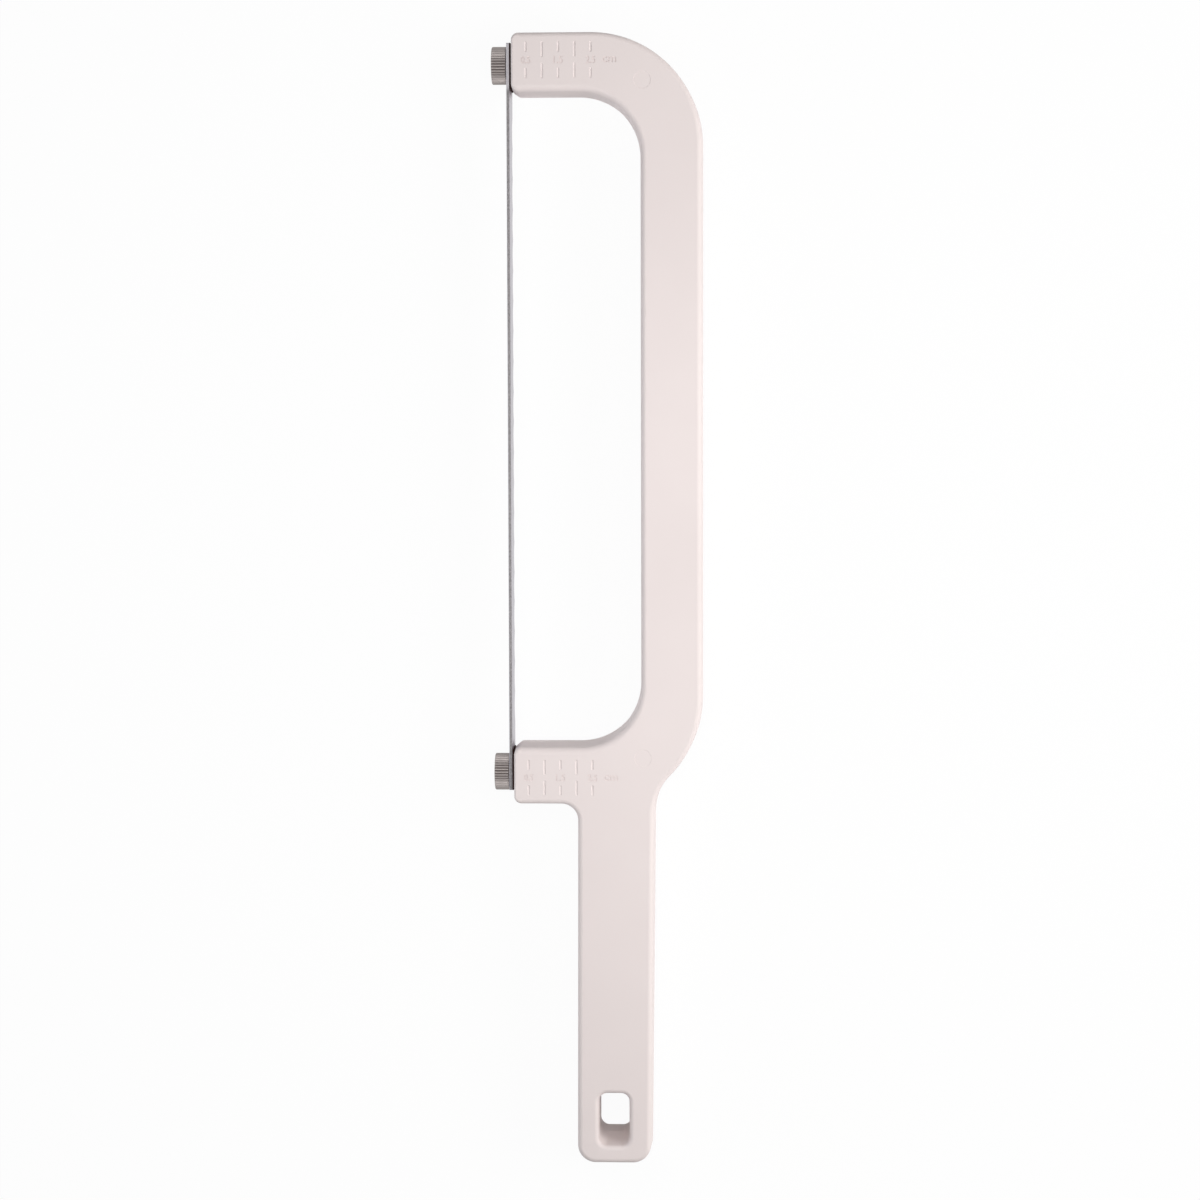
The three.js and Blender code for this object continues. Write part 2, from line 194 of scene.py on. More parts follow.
# Places worked out from the sizes
MID_Z = FRAME_THICKNESS / 2
HALF_THROAT = THROAT_LENGTH / 2
TOP_Y = HALF_THROAT + TOP_ARM_HEIGHT
GUARD_Y = -HALF_THROAT - BOTTOM_ARM_HEIGHT
END_Y = GUARD_Y - HANDLE_LENGTH
BAR_X = THROAT_DEPTH + BAR_WIDTH
TOP_SCREW_Y = (TOP_Y + HALF_THROAT) / 2
BOTTOM_SCREW_Y = (GUARD_Y - HALF_THROAT) / 2
BLADE_LOW_Y = BOTTOM_SCREW_Y - BLADE_BOTTOM_MARGIN
BLADE_HIGH_Y = TOP_SCREW_Y + BLADE_TOP_MARGIN
PAD_OUTER_X = -SEAT_CLEARANCE - PAD_THICKNESS
BLADE_OUTER_X = PAD_OUTER_X - SEAT_CLEARANCE - BLADE_THICKNESS
BLADE_INNER_X = BLADE_OUTER_X + BLADE_THICKNESS
HEAD_SEAT_X = BLADE_OUTER_X - SEAT_CLEARANCE

frame_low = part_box("bow_frame")[0]
SKETCH_ORIGIN = Vector((frame_low.x, frame_low.y - END_Y * MM, frame_low.z))
TO_PART = Matrix.Translation(SKETCH_ORIGIN) @ Matrix.Scale(MM, 4)


def srgb(red, green, blue):
    """A colour of 0 to 255 as the linear values that a shader takes."""
    shares = [c / 255 for c in (red, green, blue)]
    linear = [s / 12.92 if s <= 0.04045 else ((s + 0.055) / 1.055) ** 2.4 for s in shares]
    return (*linear, 1)


# Mesh helpers

def ring(bm, points):
    return [bm.verts.new(p) for p in points]


def loft(bm, rings):
    """Quads between neighbouring rings that have as many points each."""
    for low, high in zip(rings, rings[1:]):
        for i in range(len(low)):
            j = (i + 1) % len(low)
            bm.faces.new((low[i], low[j], high[j], high[i]))


def fill(bm, *loops):
    """Triangles over the flat area inside the first loop and outside the others."""
    edges = [
        bm.edges.get((a, b)) or bm.edges.new((a, b))
        for loop in loops
        for a, b in zip(loop, loop[1:] + loop[:1])
    ]
    bmesh.ops.triangle_fill(bm, use_beauty=True, edges=edges)


def closed_loft(bm, rings):
    loft(bm, rings)
    bm.faces.new(rings[0])
    bm.faces.new(rings[-1])


def to_mesh(bm, name):
    bmesh.ops.recalc_face_normals(bm, faces=bm.faces)
    mesh = bpy.data.meshes.new(name)
    bm.to_mesh(mesh)
    bm.free()
    return mesh


def cut(mesh, cutter):
    """The first mesh less the second, which are both closed."""
    scene_objects = bpy.context.scene.collection.objects
    body = bpy.data.objects.new("cut_body", mesh)
    tool = bpy.data.objects.new("cut_tool", cutter)
    for item in (body, tool):
        scene_objects.link(item)
    boolean = body.modifiers.new("cut", "BOOLEAN")
    boolean.operation = "DIFFERENCE"
    boolean.solver = "EXACT"
    boolean.object = tool
    depsgraph = bpy.context.evaluated_depsgraph_get()
    result = bpy.data.meshes.new_from_object(body.evaluated_get(depsgraph))
    for item in (body, tool):
        bpy.data.objects.remove(item)
    return result


def piece(name, mesh, material, body, node):
    """Puts a mesh that is in the sketch frame in the place of a CAD node."""
    mesh.transform(TO_PART)
    mesh.name = name
    mesh.materials.clear()
    mesh.materials.append(material)
    mesh.shade_smooth()
    mesh.set_sharp_from_angle(angle=SHARP_ANGLE)
    made = bpy.data.objects.new(name, mesh)
    bpy.context.scene.collection.objects.link(made)
    weighted = made.modifiers.new("weighted_normals", "WEIGHTED_NORMAL")
    weighted.keep_sharp = True
    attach(made, body)
    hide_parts(node)


# Outlines

def rounded_outline(corners):
    """Points and outward normals of a polygon, given anticlockwise as x, y and radius, once rounded."""
    outline = []
    for i, (x, y, radius) in enumerate(corners):
        at = Vector((x, y))
        before = (Vector(corners[i - 1][:2]) - at).normalized()
        after = (Vector(corners[(i + 1) % len(corners)][:2]) - at).normalized()
        turn = math.pi - before.angle(after)
        side = 1 if before.x * after.y - before.y * after.x < 0 else -1
        centre = at + (before + after).normalized() * (radius / math.cos(turn / 2))
        start = at + before * (radius * math.tan(turn / 2)) - centre
        steps = max(3, math.ceil(turn / ARC_STEP))
        for k in range(steps + 1):
            cosine = math.cos(side * turn * k / steps)
            sine = math.sin(side * turn * k / steps)
            spoke = Vector((start.x * cosine - start.y * sine, start.x * sine + start.y * cosine))
            outline.append((centre + spoke, spoke.normalized() * side))
    return outline


def shoulder_corners():
    neck_x = HANDLE_SETBACK + HANDLE_NECK_WIDTH
    radii = SHOULDER_RADIUS + NECK_RADIUS
    reach = math.hypot(radii, SHOULDER_FLAT)
    slope = math.acos((radii - (BAR_X - neck_x)) / reach) - math.atan2(SHOULDER_FLAT, radii)
    neck_y = GUARD_Y - NECK_DROP + NECK_RADIUS * math.tan(slope / 2)
    run = radii * math.tan(slope / 2) + SHOULDER_FLAT
    return [(neck_x, neck_y, NECK_RADIUS), (BAR_X, neck_y + run * math.cos(slope), SHOULDER_RADIUS)]


def frame_outline():
    return rounded_outline([
        (0, TOP_Y, ARM_CORNER_RADIUS),
        (0, HALF_THROAT, ARM_CORNER_RADIUS),
        (THROAT_DEPTH, HALF_THROAT, THROAT_CORNER_RADIUS),
        (THROAT_DEPTH, -HALF_THROAT, THROAT_CORNER_RADIUS),
        (0, -HALF_THROAT, ARM_CORNER_RADIUS),
        (0, GUARD_Y, ARM_CORNER_RADIUS),
        (HANDLE_SETBACK, GUARD_Y, GUARD_RADIUS),
        (HANDLE_END_SETBACK, END_Y, HANDLE_END_RADIUS),
        (HANDLE_END_SETBACK + HANDLE_END_WIDTH, END_Y, HANDLE_END_RADIUS),
        *shoulder_corners(),
        (BAR_X, TOP_Y, BOW_CORNER_RADIUS),
    ])


def hole_outline():
    middle = HANDLE_END_SETBACK + HANDLE_END_WIDTH / 2
    left = middle - HOLE_WIDTH / 2
    right = middle + HOLE_WIDTH / 2
    low = END_Y + HOLE_END_WALL
    high = low + HOLE_LENGTH
    corners = [(left, low), (right, low), (right, high), (left, high)]
    return rounded_outline([(x, y, HOLE_CORNER_RADIUS) for x, y in corners])


def fillet_profile(fillet, draft):
    """Height and inset of the back half's fillet, from the back face up."""
    angles = [math.pi / 2 * k / FILLET_STEPS for k in range(FILLET_STEPS, -1, -1)]
    return [(fillet * (1 - math.sin(a)), draft + fillet * (1 - math.cos(a))) for a in angles]


def wall_profile(fillet, back_draft, front_draft):
    """Height of a wall and how far it leans from its parting line, from the back face to the front."""
    back = fillet_profile(fillet, back_draft)
    front = [(FRAME_THICKNESS - z, lean) for z, lean in reversed(fillet_profile(fillet, front_draft))]
    half = WITNESS_WIDTH / 2
    seam = [(MID_Z - half, WITNESS_HEIGHT), (MID_Z, 0), (MID_Z + half, WITNESS_HEIGHT)]
    return [*back, *seam, *front]


def hole_drop(point, z):
    """How much further the hole's lower wall leans towards the handle's end at a height."""
    if point.y > END_Y + HOLE_END_WALL + HOLE_LENGTH / 2:
        return 0
    return HOLE_LOW_SLOPE * min(1, max(0, z - MID_Z) / (MID_Z - HOLE_LIP))


# Bow frame

def frame_fillet(point, normal):
    """The fillet grows where an arm faces the other across the throat, and shrinks at the arm's end."""
    facing = max(0, -math.copysign(1, point.y) * normal.y)
    ending = max(0, -normal.x) if point.x < ARM_CORNER_RADIUS else 0
    grown = (THROAT_FILLET - EDGE_FILLET) * facing
    shrunk = (EDGE_FILLET - ARM_END_FILLET) * ending
    return EDGE_FILLET + grown - shrunk


def frame_column(point, normal):
    """Points up the frame's wall at one place on its outline, from the back face to the front."""
    profile = wall_profile(frame_fillet(point, normal), DRAFT_INSET, DRAFT_INSET)
    return [(*(point - normal * inset), z) for z, inset in profile]


def moulding():
    bm = bmesh.new()
    columns = [frame_column(*spot) for spot in frame_outline()]
    frame_rings = [ring(bm, level) for level in zip(*columns)]
    hole_rings = []
    for z, inset in wall_profile(HOLE_LIP, HOLE_BACK_DRAFT, HOLE_FRONT_DRAFT):
        points = []
        for point, normal in hole_outline():
            x, y = point + normal * inset
            points.append((x, y - hole_drop(point, z), z))
        hole_rings.append(ring(bm, points))
    stacks = [frame_rings, hole_rings]
    for rings in stacks:
        loft(bm, rings)
    for level in (0, -1):
        fill(bm, *[rings[level] for rings in stacks])
    return to_mesh(bm, "moulding")


def groove(bm, x, y, length, radius, profile):
    """A round-ended groove along Y in the front face, or a round recess if as long as it is wide.

    Its profile gives heights over the face and the margin by which it is wider there.
    """
    straight = length / 2 - radius
    rings = []
    for height, margin in profile:
        points = []
        for end in (1, -1):
            for k in range(GROOVE_END_STEPS):
                angle = math.pi * (k + 0.5) / GROOVE_END_STEPS + (0 if end > 0 else math.pi)
                reach = radius + margin
                points.append((
                    x + reach * math.cos(angle),
                    y + end * straight + reach * math.sin(angle),
                    FRAME_THICKNESS + height,
                ))
        rings.append(ring(bm, points))
    closed_loft(bm, rings)


def bore(bm, x_low, x_high, y, radius):
    rings = []
    for x in (x_low, x_high):
        angles = [TURN * k / ROUND_STEPS for k in range(ROUND_STEPS)]
        rings.append(ring(bm, [
            (x, y + radius * math.cos(a), MID_Z + radius * math.sin(a)) for a in angles
        ]))
    closed_loft(bm, rings)


def label(bm, text, x, y, width, height):
    """Engraves a text, centred on a point of the front face."""
    curve = bpy.data.curves.new("label", "FONT")
    curve.body = text
    curve.resolution_u = LABEL_STEPS
    curve.extrude = 1
    curve.offset = LABEL_BOLDNESS
    holder = bpy.data.objects.new("label", curve)
    bpy.context.scene.collection.objects.link(holder)
    depsgraph = bpy.context.evaluated_depsgraph_get()
    mesh = bpy.data.meshes.new_from_object(holder.evaluated_get(depsgraph))
    bpy.data.objects.remove(holder)
    xs = [v.co.x for v in mesh.vertices]
    ys = [v.co.y for v in mesh.vertices]
    middle = Vector(((min(xs) + max(xs)) / 2, (min(ys) + max(ys)) / 2, 0))
    size = Vector((width / (max(xs) - min(xs)), height / (max(ys) - min(ys)), LABEL_DEPTH))
    place = Matrix.Translation((x, y, FRAME_THICKNESS))
    mesh.transform(place @ Matrix.Diagonal((*size, 1)) @ Matrix.Translation(-middle))
    bm.from_mesh(mesh)
    bpy.data.meshes.remove(mesh)


def slice_scale(bm, y):
    for i in range(1, TICK_COUNT + 1):
        numbered = i % 2 == 1
        length = SHORT_TICK if numbered else LONG_TICK
        for side in (-1, 1):
            tick_y = y + side * (SCALE_HEIGHT - length) / 2
            groove(bm, i * TICK_PITCH, tick_y, length, TICK_WIDTH / 2, GROOVE_PROFILE)
        if numbered:
            text = f"{i * TICK_PITCH / 10:.1f}"
            label(bm, text, i * TICK_PITCH, y, LABEL_WIDTH, LABEL_HEIGHT)
    label(bm, "cm", UNIT_X, y, UNIT_WIDTH, UNIT_HEIGHT)


def frame_mesh():
    bm = bmesh.new()
    slice_scale(bm, TOP_SCREW_Y + SCALE_OFFSET)
    slice_scale(bm, BOTTOM_SCREW_Y - SCALE_OFFSET)
    for pin_y in (TOP_SCREW_Y + TOP_PIN_OFFSET, BOTTOM_SCREW_Y + BOTTOM_PIN_OFFSET):
        groove(bm, PIN_MARK_X, pin_y, 2 * PIN_MARK_RADIUS, PIN_MARK_RADIUS, PIN_MARK_PROFILE)
    for screw_y in (TOP_SCREW_Y, BOTTOM_SCREW_Y):
        bore(bm, -CUT_MARGIN, POCKET_DEPTH, screw_y, INSERT_RADIUS + FIT_CLEARANCE)
    bmesh.ops.remove_doubles(bm, verts=bm.verts, dist=WELD_DISTANCE)
    return cut(moulding(), to_mesh(bm, "cuts"))


# Blade

def blade_stations():
    """Y, how far edge and spine draw in there, and how much of the bevel is ground there."""
    first_tip = -SCALLOP_COUNT * SCALLOP_PITCH / 2
    corner = []
    for k in range(END_STEPS + 1):
        angle = math.pi / 2 * k / END_STEPS
        corner.append((1 - math.cos(angle), 1 - math.sin(angle)))
    radius = BLADE_CORNER_RADIUS
    stations = [(BLADE_LOW_Y + radius * a, radius * b, radius * b, 0) for a, b in corner]
    runout = [k / END_STEPS for k in range(END_STEPS)]
    stations += [(first_tip - EDGE_RUNOUT * (1 - s), 0, 0, s) for s in runout]
    half = SCALLOP_PITCH / 2
    arc = (half ** 2 + SCALLOP_DEPTH ** 2) / (2 * SCALLOP_DEPTH)
    for k in range(SCALLOP_COUNT * SCALLOP_STEPS + 1):
        share = (k % SCALLOP_STEPS) / SCALLOP_STEPS
        along = share * SCALLOP_PITCH - half
        rise = math.sqrt(arc ** 2 - along ** 2) - (arc - SCALLOP_DEPTH)
        stations.append((first_tip + k / SCALLOP_STEPS * SCALLOP_PITCH, rise, 0, 1))
    stations += [(-first_tip + EDGE_RUNOUT * (1 - s), 0, 0, s) for s in reversed(runout)]
    stations += [(BLADE_HIGH_Y - radius * a, radius * b, radius * b, 0) for a, b in reversed(corner)]
    return stations


def blade_section(y, rise, drop, ground):
    """The strip's section at Y: spine, flat inner face, cutting edge and hollow-ground bevel."""
    edge = MID_Z - BLADE_WIDTH / 2 + rise
    spine = MID_Z + BLADE_WIDTH / 2 - drop
    outer, inner, arris = BLADE_OUTER_X, BLADE_INNER_X, BLADE_ARRIS
    land = inner - EDGE_LAND
    plain = [
        (inner, edge + arris), (inner - arris, edge), (outer + arris, edge),
        (outer, edge + arris), (outer, edge + BEVEL_WIDTH / 2), (outer, edge + BEVEL_WIDTH),
    ]
    sharp = [
        (inner, edge + EDGE_ARRIS), (inner - EDGE_ARRIS, edge), (land, edge),
        (land + (outer - land) / 3 + BEVEL_HOLLOW, edge + BEVEL_WIDTH / 3),
        (land + (outer - land) * 2 / 3 + BEVEL_HOLLOW, edge + BEVEL_WIDTH * 2 / 3),
        (outer, edge + BEVEL_WIDTH),
    ]
    edge_side = [
        (a[0] + (b[0] - a[0]) * ground, a[1] + (b[1] - a[1]) * ground)
        for a, b in zip(plain, sharp)
    ]
    spine_side = [
        (outer, spine - arris), (outer + arris, spine), (inner - arris, spine), (inner, spine - arris),
    ]
    return [(x, y, z) for x, z in spine_side + edge_side]


def blade_mesh():
    bm = bmesh.new()
    closed_loft(bm, [ring(bm, blade_section(*station)) for station in blade_stations()])
    holes = bmesh.new()
    for screw_y in (TOP_SCREW_Y, BOTTOM_SCREW_Y):
        x_low = BLADE_OUTER_X - CUT_MARGIN
        bore(holes, x_low, BLADE_INNER_X + CUT_MARGIN, screw_y, THREAD_MAJOR + FIT_CLEARANCE)
    return cut(to_mesh(bm, "strip"), to_mesh(holes, "holes"))


def pad_mesh(screw_y, y_low, y_high):
    """A thin sheet behind the blade, from one Y to another, with a hole for the screw."""
    z_low = MID_Z - BLADE_WIDTH / 2
    z_high = MID_Z + BLADE_WIDTH / 2
    corners = [(y_low, z_low), (y_high, z_low), (y_high, z_high), (y_low, z_high)]
    outline = rounded_outline([(y, z, PAD_CORNER) for y, z in corners])
    bm = bmesh.new()
    closed_loft(bm, [
        ring(bm, [(x, *point) for point, _ in outline])
        for x in (PAD_OUTER_X, PAD_OUTER_X + PAD_THICKNESS)
    ])
    hole = bmesh.new()
    bore(hole, PAD_OUTER_X - CUT_MARGIN, CUT_MARGIN, screw_y, THREAD_MAJOR + FIT_CLEARANCE)
    return cut(to_mesh(bm, "sheet"), to_mesh(hole, "hole"))


# Thumb screws and inserts, made along their axis from the seat of the head, which points to -X

def thread_share(height, angle):
    """How far the flank of a right-handed thread has risen, from 0 in the root to 1 on the crest."""
    phase = (height / THREAD_PITCH - angle / TURN) % 1
    return min(1, max(0, (1 - abs(2 * phase - 1) - THREAD_ROOT) / THREAD_FLANK))


def round_ring(bm, seat, y, height, steps, radius_at):
    points = []
    for k in range(steps):
        angle = TURN * k / steps
        radius = radius_at(angle)
        points.append((seat - height, y + radius * math.sin(angle), MID_Z + radius * math.cos(angle)))
    return ring(bm, points)


def head_radius(height, angle):
    """The knurled head: straight ridges, cut off by a chamfer at the base and rounded at the end."""
    phase = (angle / TURN * KNURL_COUNT) % 1
    ridge = min(1, KNURL_STEEPNESS * (1 - abs(2 * phase - 1)))
    knurled = HEAD_RADIUS - KNURL_DEPTH * (1 - ridge)
    above_collar = max(0, height - COLLAR_LENGTH)
    based = COLLAR_RADIUS + above_collar * (HEAD_RADIUS - COLLAR_RADIUS) / BASE_CHAMFER
    past = max(0, height - (HEAD_LENGTH - HEAD_ROUND))
    rounded = HEAD_RADIUS - HEAD_ROUND + math.sqrt(max(0, HEAD_ROUND ** 2 - past ** 2))
    return min(knurled, based, rounded)


def screw_mesh(y):
    bm = bmesh.new()
    steps = KNURL_COUNT * KNURL_STEPS
    base = [COLLAR_LENGTH + BASE_CHAMFER * share for share in BASE_SHARES]
    rounding = [math.pi / 2 * k / HEAD_ROUND_STEPS for k in range(HEAD_ROUND_STEPS + 1)]
    end = [HEAD_LENGTH - HEAD_ROUND * (1 - math.sin(a)) for a in rounding]
    head = [
        round_ring(bm, HEAD_SEAT_X, y, height, steps, partial(head_radius, height))
        for height in [0, *base, *end]
    ]
    loft(bm, head)
    bm.faces.new(head[-1])
    tip = HEAD_SEAT_X - THREAD_ENGAGEMENT
    count = math.ceil((-PLAIN_SHANK - tip) / THREAD_PITCH * THREAD_SAMPLES)
    heights = [tip + (-PLAIN_SHANK - tip) * k / count for k in range(count + 1)] + [0]

    def shank_radius(height, angle):
        rise = 1 if height > -PLAIN_SHANK else thread_share(height, angle)
        threaded = THREAD_MINOR + (THREAD_MAJOR - THREAD_MINOR) * rise
        return min(threaded, TIP_RADIUS + height - tip)

    shank = [
        round_ring(bm, HEAD_SEAT_X, y, height, THREAD_STEPS, partial(shank_radius, height))
        for height in heights
    ]
    loft(bm, shank)
    bm.faces.new(shank[0])
    fill(bm, head[0], shank[-1])
    mesh = to_mesh(bm, "screw")
    crests = mesh.attributes.new(CREST, "FLOAT", "POINT")
    for vertex, crest in zip(mesh.vertices, crests.data):
        radius = math.hypot(vertex.co.y - y, vertex.co.z - MID_Z)
        on_head = vertex.co.x < HEAD_SEAT_X - COLLAR_LENGTH / 2
        if on_head:
            top, depth = HEAD_RADIUS, KNURL_DEPTH
        else:
            top, depth = THREAD_MAJOR, THREAD_MAJOR - THREAD_MINOR
        crest.value = min(1, max(0, 1 - (top - radius) / depth))
    return mesh


def insert_mesh(y):
    bm = bmesh.new()
    count = math.ceil(INSERT_LENGTH / THREAD_PITCH * NUT_SAMPLES)
    profile = [(-INSERT_LENGTH * (1 - k / count), None) for k in range(1, count)]
    profile += [
        (0, NUT_MAJOR),
        (0, INSERT_RADIUS - INSERT_CHAMFER),
        (-INSERT_CHAMFER, INSERT_RADIUS),
        (-INSERT_LENGTH + INSERT_CHAMFER, INSERT_RADIUS),
        (-INSERT_LENGTH, INSERT_RADIUS - INSERT_CHAMFER),
        (-INSERT_LENGTH, NUT_MAJOR),
    ]

    def nut_radius(height, plain, angle):
        """The plain radius of a ring, or that of the thread where it has none."""
        threaded = NUT_MINOR + (NUT_MAJOR - NUT_MINOR) * thread_share(height, angle)
        return plain or threaded

    rings = [
        round_ring(bm, 0, y, height, THREAD_STEPS, partial(nut_radius, height, plain))
        for height, plain in profile
    ]
    loft(bm, rings + rings[:1])
    return to_mesh(bm, "insert")


# Materials, with the lengths of their patterns along X, Y and Z and the heights of their bumps

NOISE_RANGE = (0.3, 0.7)  # where the values of the noise mostly lie
MIX_FIRST = 6  # a Mix node's colour sockets, by place because their names repeat
MIX_SECOND = 7
MIX_RESULT = 2

PLASTIC_SHADES = (srgb(232, 221, 219), srgb(236, 225, 223))
PLASTIC_CLOUDS = (60, 60, 60)
PLASTIC_SHEEN = (9, 9, 9)
PLASTIC_ROUGHNESS = (0.52, 0.62)
PLASTIC_SPECULAR = 0.3
PLASTIC_GRAIN = (0.5, 0.5, 0.5)
PLASTIC_GRAIN_HEIGHT = 0.006
PLASTIC_WAVES = (25, 25, 25)
PLASTIC_WAVE_HEIGHT = 0.05

BRUSHED_SHADES = (srgb(160, 156, 164), srgb(180, 176, 183))
BRUSHED_LINES = (0.25, 40, 0.25)
BRUSHED_HEIGHT = 0.006
BLADE_ROUGHNESS = (0.24, 0.38)
SPINE_DULL_SHADES = (srgb(100, 98, 99), srgb(130, 127, 128))
SPINE_PAST_THROAT_SHADES = (srgb(160, 157, 160), srgb(174, 171, 174))
SPINE_SPECKS = (0.4, 0.7, 0.4)
SPINE_FACING = (0.6, 0.9)  # how far up a face looks, from none to all of the spine's colour
SPINE_ROUGHER = 0.25
CLAMP_REACH = (1, 2.5)  # beyond the throat, from none to all of the lighter spine colour

# groove, flank and ridge colours of the screws: the darker grooves are partly grime, partly painted shade
KNURL_GRIME_AND_SHADE = (srgb(124, 117, 116), srgb(144, 137, 135), srgb(154, 147, 144))
GREYED_SHADES = (srgb(128, 121, 120), srgb(152, 145, 143))
GREYED_SHARES = (0, 0.5)
SCREW_PATCHES = (3, 1.2, 1.2)
SCREW_ROUGHNESS = (0.4, 0.54)
TURNED_LINES = (0.12, 2, 2)
TURNED_HEIGHT = 0.006

BRASS_SHADES = (srgb(164, 130, 78), srgb(188, 152, 96))
BRASS_LINES = (0.3, 2, 2)
BRASS_ROUGHNESS = (0.28, 0.42)
BRASS_HEIGHT = 0.008

# The pads' dark brown is painted shadow: it stands in for the shade in the narrow gap between the blade
# and each arm's end.
PAD_SHADOW_SHADES = (srgb(52, 28, 24), srgb(66, 38, 32))
PAD_SPECKS = (0.6, 0.6, 0.6)
PAD_ROUGHNESS = (0.7, 0.9)
PAD_SPECULAR = 0.1
PAD_BUMP_HEIGHT = 0.01


def new_material(name, metallic=0):
    made = bpy.data.materials.new(name)
    made.use_nodes = True
    shader = made.node_tree.nodes["Principled BSDF"]
    shader.inputs["Metallic"].default_value = metallic
    return made, made.node_tree, shader


def noise(tree, stretch, detail=3):
    """Noise over the object's own millimetres, stretched by a length along each axis."""
    place = tree.nodes.new("ShaderNodeTexCoord")
    scale = tree.nodes.new("ShaderNodeMapping")
    scale.inputs["Scale"].default_value = [1 / (length * MM) for length in stretch]
    made = tree.nodes.new("ShaderNodeTexNoise")
    made.inputs["Scale"].default_value = 1
    made.inputs["Detail"].default_value = detail
    tree.links.new(place.outputs["Object"], scale.inputs["Vector"])
    tree.links.new(scale.outputs["Vector"], made.inputs["Vector"])
    return made.outputs["Fac"]


def spread(tree, source, values, limits=NOISE_RANGE):
    """Takes a source between two limits to a pair of values."""
    made = tree.nodes.new("ShaderNodeMapRange")
    made.inputs["From Min"].default_value, made.inputs["From Max"].default_value = limits
    made.inputs["To Min"].default_value, made.inputs["To Max"].default_value = values
    tree.links.new(source, made.inputs["Value"])
    return made.outputs["Result"]


def ramp(tree, source, shades, positions=NOISE_RANGE):
    made = tree.nodes.new("ShaderNodeValToRGB")
    stops = made.color_ramp.elements
    while len(stops) < len(shades):
        stops.new(0.5)
    for stop, position, shade in zip(stops, positions, shades):
        stop.position = position
        stop.color = shade
    tree.links.new(source, made.inputs["Fac"])
    return made.outputs["Color"]


def bump(tree, shader, source, height, under=None):
    made = tree.nodes.new("ShaderNodeBump")
    made.inputs["Strength"].default_value = 1
    made.inputs["Distance"].default_value = height * MM
    tree.links.new(source, made.inputs["Height"])
    if under:
        tree.links.new(under, made.inputs["Normal"])
    tree.links.new(made.outputs["Normal"], shader.inputs["Normal"])
    return made.outputs["Normal"]


def mix_colours(tree, share, first, second):
    made = tree.nodes.new("ShaderNodeMix")
    made.data_type = "RGBA"
    tree.links.new(share, made.inputs["Factor"])
    tree.links.new(first, made.inputs[MIX_FIRST])
    tree.links.new(second, made.inputs[MIX_SECOND])
    return made.outputs[MIX_RESULT]


def calculate(tree, operation, first, second):
    """A Math node on an output and either a number or another output."""
    made = tree.nodes.new("ShaderNodeMath")
    made.operation = operation
    tree.links.new(first, made.inputs[0])
    if isinstance(second, (int, float)):
        made.inputs[1].default_value = second
    else:
        tree.links.new(second, made.inputs[1])
    return made.outputs["Value"]


def split(tree, output):
    """The parts along X, Y and Z of one of the texture coordinates."""
    place = tree.nodes.new("ShaderNodeTexCoord")
    made = tree.nodes.new("ShaderNodeSeparateXYZ")
    tree.links.new(place.outputs[output], made.inputs["Vector"])
    return made.outputs


def moulded_plastic():
    made, tree, shader = new_material("moulded_plastic")
    shader.inputs["Specular IOR Level"].default_value = PLASTIC_SPECULAR
    colour = ramp(tree, noise(tree, PLASTIC_CLOUDS), PLASTIC_SHADES)
    roughness = spread(tree, noise(tree, PLASTIC_SHEEN), PLASTIC_ROUGHNESS)
    tree.links.new(colour, shader.inputs["Base Color"])
    tree.links.new(roughness, shader.inputs["Roughness"])
    grain = bump(tree, shader, noise(tree, PLASTIC_GRAIN), PLASTIC_GRAIN_HEIGHT)
    bump(tree, shader, noise(tree, PLASTIC_WAVES, detail=1), PLASTIC_WAVE_HEIGHT, grain)
    return made


def blade_steel():
    """Brushed faces, and a dull spine that is lighter where it runs past the throat's top end, by the top
    screw.
    """
    made, tree, shader = new_material("blade_steel", metallic=1)
    spine = spread(tree, split(tree, "Normal")["Z"], (0, 1), SPINE_FACING)
    along = calculate(tree, "SUBTRACT", split(tree, "Object")["Y"], SKETCH_ORIGIN.y)
    clamp_ends = [(HALF_THROAT + reach) * MM for reach in CLAMP_REACH]
    clamped = spread(tree, along, (0, 1), clamp_ends)
    lines = noise(tree, BRUSHED_LINES, detail=4)
    specks = noise(tree, SPINE_SPECKS, detail=2)
    dull = ramp(tree, specks, SPINE_DULL_SHADES)
    lighter_spine = ramp(tree, specks, SPINE_PAST_THROAT_SHADES)
    spine_colour = mix_colours(tree, clamped, dull, lighter_spine)
    colour = mix_colours(tree, spine, ramp(tree, lines, BRUSHED_SHADES), spine_colour)
    tree.links.new(colour, shader.inputs["Base Color"])
    rougher = calculate(tree, "MULTIPLY", spine, SPINE_ROUGHER)
    roughness = calculate(tree, "ADD", spread(tree, lines, BLADE_ROUGHNESS), rougher)
    tree.links.new(roughness, shader.inputs["Roughness"])
    bump(tree, shader, lines, BRUSHED_HEIGHT)
    return made


def screw_steel():
    """Grooves darker than the ridges, partly grime and partly painted shade, and greyed in patches."""
    made, tree, shader = new_material("screw_steel", metallic=1)
    patches = noise(tree, SCREW_PATCHES)
    crest = tree.nodes.new("ShaderNodeAttribute")
    crest.attribute_name = CREST
    # painted shade and grime: darker in the grooves of knurl and thread, lighter on their ridges
    groove_grime_and_shade = ramp(tree, crest.outputs["Fac"], KNURL_GRIME_AND_SHADE, (0, 0.5, 1))
    greyed = ramp(tree, patches, GREYED_SHADES)
    colour = mix_colours(tree, spread(tree, patches, GREYED_SHARES), groove_grime_and_shade, greyed)
    tree.links.new(colour, shader.inputs["Base Color"])
    tree.links.new(spread(tree, patches, SCREW_ROUGHNESS), shader.inputs["Roughness"])
    bump(tree, shader, noise(tree, TURNED_LINES), TURNED_HEIGHT)
    return made


